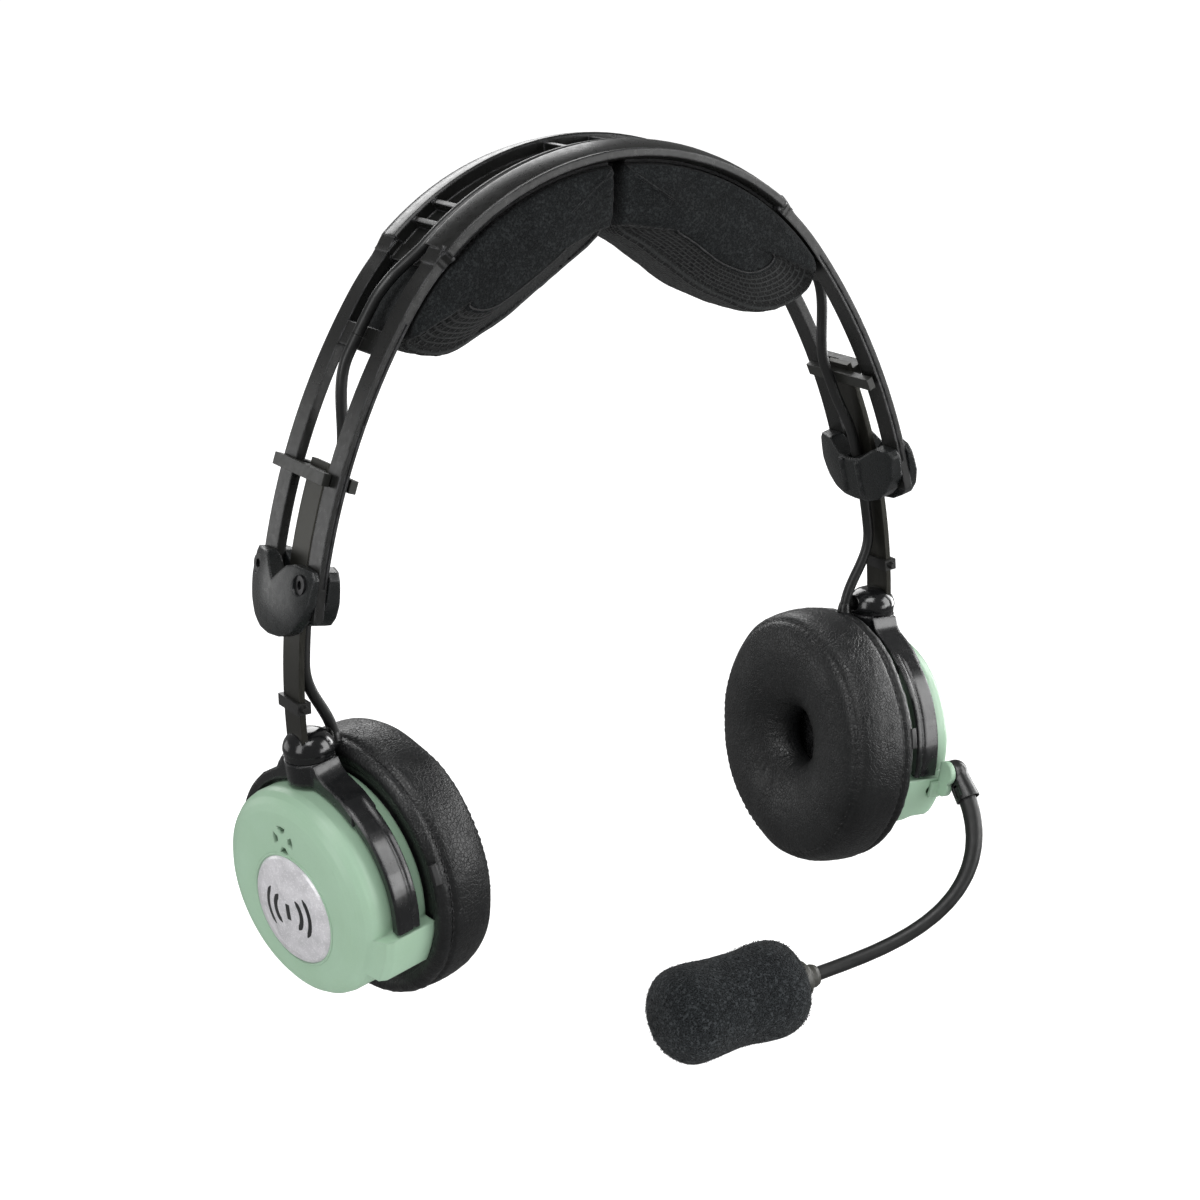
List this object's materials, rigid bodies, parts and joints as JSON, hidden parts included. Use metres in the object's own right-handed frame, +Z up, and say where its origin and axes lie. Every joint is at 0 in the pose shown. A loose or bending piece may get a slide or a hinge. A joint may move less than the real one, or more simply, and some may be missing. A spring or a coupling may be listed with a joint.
{
  "type": "aviation headset",
  "caption": "Lightweight aviation headset: sprung slotted headband with pads, curved adjusting straps, swivel yokes, on-ear cups and a swinging boom microphone.",
  "frame": {"origin": "on the ear axis, midway between the two ear cups", "axes": "+X towards the wearer's left ear, where the boom is; -Y the way the wearer faces; +Z up through the crown of the headband"},
  "size_m": [0.1927, 0.0879, 0.2307],
  "materials": {
    "band_plastic": "satin black moulded nylon",
    "clamp_plastic": "satin black moulded nylon",
    "screw_black": "black oxide steel",
    "pad_fabric": "speckled charcoal velour with a knitted mesh sole",
    "hook_tape": "black hook-and-loop tape",
    "cable_jacket": "smooth matte black cable jacket",
    "strap_steel": "dark grey coated spring steel",
    "guide_plastic": "dark olive-grey moulded plastic",
    "clip_rubber": "soft black rubber",
    "boot_gloss": "glossy black moulding",
    "rivet_steel": "plain bright steel",
    "yoke_gloss": "glossy black moulding",
    "dome_plastic": "satin sage green moulding",
    "badge_silver": "silver domed badge under clear resin",
    "base_plastic": "black moulding",
    "driver_metal": "plain",
    "inner_foam": "open-cell foam",
    "cushion_leather": "fine-grained black leatherette",
    "boom_rubber": "matte black rubber",
    "mic_plastic": "dark olive-black moulding",
    "windscreen_foam": "dark grey open-cell foam"
  },
  "bodies": {
    "headband": {"headband_frame": "band_plastic", "cross_cable": "cable_jacket", "clamp_outer_left": "clamp_plastic", "clamp_outer_right": "clamp_plastic", "clamp_inner_left": "clamp_plastic", "clamp_inner_right": "clamp_plastic", "clamp_screws_left": "screw_black", "clamp_screws_right": "screw_black", "head_pad_left": "pad_fabric", "head_pad_right": "pad_fabric", "hook_strip_left": "hook_tape", "hook_strip_right": "hook_tape"},
    "slider_left": {"adjust_strap_left": "strap_steel", "guide_outer_left": "guide_plastic", "guide_inner_left": "guide_plastic", "strap_clip_left": "clip_rubber", "swivel_boot_left": "boot_gloss", "boot_rivet_left": "rivet_steel", "swivel_stud_left": "rivet_steel", "cable_lead_left": "cable_jacket"},
    "yoke_left": {"yoke_left": "yoke_gloss", "pivot_pins_left": "rivet_steel"},
    "cup_left": {"dome_left": "dome_plastic", "badge_left": "badge_silver", "base_plate_left": "base_plastic", "driver_left": "driver_metal", "damping_foam_left": "inner_foam", "cushion_ring_left": "base_plastic", "cushion_left": "cushion_leather", "ear_foam_left": "inner_foam", "boom_bracket": "dome_plastic", "boom_pin": "rivet_steel", "cord_gland": "boom_rubber"},
    "slider_right": {"adjust_strap_right": "strap_steel", "guide_outer_right": "guide_plastic", "guide_inner_right": "guide_plastic", "strap_clip_right": "clip_rubber", "swivel_boot_right": "boot_gloss", "boot_rivet_right": "rivet_steel", "swivel_stud_right": "rivet_steel", "cable_lead_right": "cable_jacket"},
    "yoke_right": {"yoke_right": "yoke_gloss", "pivot_pins_right": "rivet_steel"},
    "cup_right": {"dome_right": "dome_plastic", "badge_right": "badge_silver", "base_plate_right": "base_plastic", "driver_right": "driver_metal", "damping_foam_right": "inner_foam", "cushion_ring_right": "base_plastic", "cushion_right": "cushion_leather", "ear_foam_right": "inner_foam"},
    "boom": {"boom_collar": "boom_rubber", "boom_tube": "boom_rubber", "mic_housing": "mic_plastic", "mic_capsule": "driver_metal", "windscreen": "windscreen_foam"}
  },
  "joints": [
    {"name": "strap_slide_left", "type": "hinge", "parent": "headband", "child": "slider_left", "pos_m": [-0.07605, 0, 0.04135], "axis": [0, 1, 0], "range_deg": [-5, 5], "deforming": ["cable_lead_left"]},
    {"name": "yoke_swivel_left", "type": "hinge", "parent": "slider_left", "child": "yoke_left", "pos_m": [0.0846, 0, 0.0328], "axis": [0.1131, -0.004, 0.9936], "range_deg": [-25, 25]},
    {"name": "cup_tilt_left", "type": "hinge", "parent": "yoke_left", "child": "cup_left", "pos_m": [0.08075, 0.00013, -0.00098], "axis": [0.0349, 0.9994, 0], "range_deg": [-8, 0]},
    {"name": "strap_slide_right", "type": "hinge", "parent": "headband", "child": "slider_right", "pos_m": [0.07605, 0, 0.04135], "axis": [0, -1, 0], "range_deg": [-5, 5], "deforming": ["cable_lead_right"]},
    {"name": "yoke_swivel_right", "type": "hinge", "parent": "slider_right", "child": "yoke_right", "pos_m": [-0.0846, 0, 0.0328], "axis": [-0.0767, -0.0163, 0.9969], "range_deg": [-25, 25]},
    {"name": "cup_tilt_right", "type": "hinge", "parent": "yoke_right", "child": "cup_right", "pos_m": [-0.08199, 0.00056, -0.0011], "axis": [0.2079, -0.9781, 0], "range_deg": [-8, 0]},
    {"name": "boom_swing", "type": "hinge", "parent": "cup_left", "child": "boom", "pos_m": [0.08759, -0.03192, -0.0045], "axis": [0.993, -0.0347, -0.1132], "range_deg": [-90, 40]}
  ]
}
